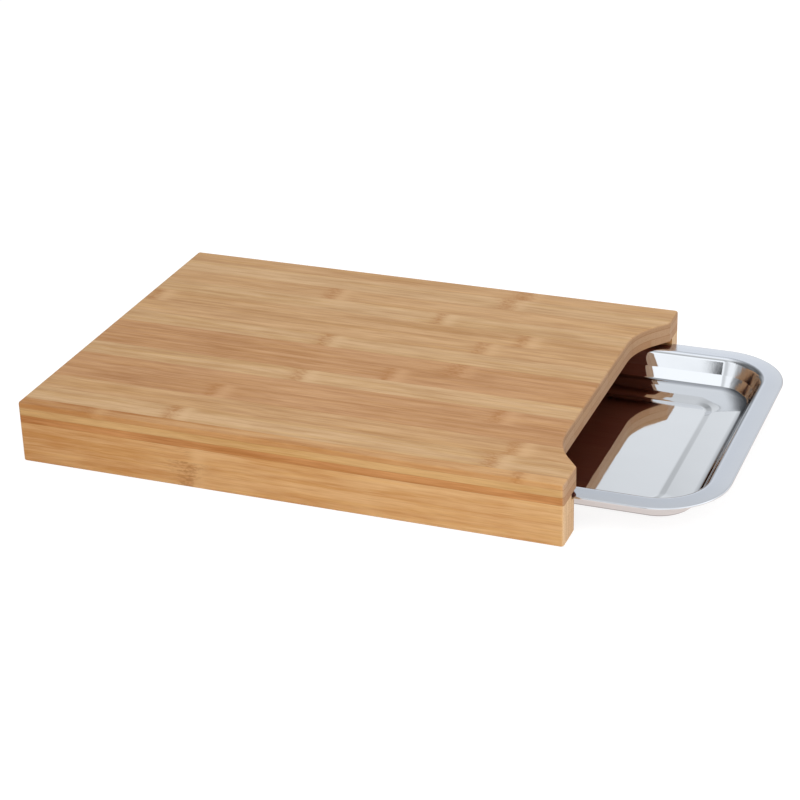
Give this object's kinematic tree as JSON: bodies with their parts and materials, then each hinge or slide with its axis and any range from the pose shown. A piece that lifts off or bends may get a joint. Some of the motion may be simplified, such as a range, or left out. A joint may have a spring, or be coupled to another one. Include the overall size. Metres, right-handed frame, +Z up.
{
  "type": "cutting board with tray",
  "caption": "Laminated bamboo cutting board on side rails, with a wide notch in one end and a shallow pressed steel tray that slides out under it to catch what is cut.",
  "frame": {"origin": "on the table, under the middle of the board and the part-opened tray together", "axes": "+X along the board towards the notched end, where the tray comes out; +Y from the front edge to the back edge; +Z up, out of the cutting face"},
  "size_m": [0.4696, 0.28, 0.0435],
  "materials": {
    "bamboo_light": "oiled bamboo, satin",
    "bamboo_warm": "oiled bamboo, satin",
    "bamboo_brown": "oiled bamboo, satin",
    "bamboo_edge": "oiled bamboo, satin",
    "steel_sheet": "pressed stainless sheet, satin"
  },
  "bodies": {
    "board": {"back_edge_bottom": "bamboo_light", "back_edge_middle": "bamboo_brown", "back_edge_top": "bamboo_light", "stave_01_bottom": "bamboo_brown", "stave_01_middle": "bamboo_light", "stave_01_top": "bamboo_warm", "stave_02_bottom": "bamboo_light", "stave_02_middle": "bamboo_warm", "stave_02_top": "bamboo_brown", "stave_03_bottom": "bamboo_warm", "stave_03_middle": "bamboo_brown", "stave_03_top": "bamboo_light", "stave_04_bottom": "bamboo_brown", "stave_04_middle": "bamboo_light", "stave_04_top": "bamboo_brown", "stave_05_bottom": "bamboo_light", "stave_05_middle": "bamboo_brown", "stave_05_top": "bamboo_warm", "stave_06_bottom": "bamboo_brown", "stave_06_middle": "bamboo_warm", "stave_06_top": "bamboo_light", "stave_07_bottom": "bamboo_warm", "stave_07_middle": "bamboo_light", "stave_07_top": "bamboo_brown", "stave_08_bottom": "bamboo_light", "stave_08_middle": "bamboo_brown", "stave_08_top": "bamboo_brown", "stave_09_bottom": "bamboo_brown", "stave_09_middle": "bamboo_brown", "stave_09_top": "bamboo_warm", "stave_10_bottom": "bamboo_brown", "stave_10_middle": "bamboo_warm", "stave_10_top": "bamboo_light", "stave_11_bottom": "bamboo_warm", "stave_11_middle": "bamboo_light", "stave_11_top": "bamboo_edge", "stave_12_bottom": "bamboo_light", "stave_12_middle": "bamboo_edge", "stave_12_top": "bamboo_warm", "stave_13_bottom": "bamboo_edge", "stave_13_middle": "bamboo_warm", "stave_13_top": "bamboo_light", "front_edge_bottom": "bamboo_warm", "front_edge_middle": "bamboo_light", "front_edge_top": "bamboo_brown", "front_rail_ply_1": "bamboo_light", "front_rail_ply_2": "bamboo_light", "front_rail_ply_3": "bamboo_light", "front_rail_ply_4": "bamboo_light", "back_rail_ply_1": "bamboo_light", "back_rail_ply_2": "bamboo_light", "back_rail_ply_3": "bamboo_light", "back_rail_ply_4": "bamboo_light", "end_rail_ply_1": "bamboo_warm", "end_rail_ply_2": "bamboo_warm", "end_rail_ply_3": "bamboo_warm", "end_rail_ply_4": "bamboo_warm"},
    "tray": {"tray": "steel_sheet"}
  },
  "joints": [
    {"name": "tray_slide", "type": "slide", "parent": "board", "child": "tray", "axis": [1, 0, 0], "range_m": [-0.0895, 0.2075]}
  ]
}
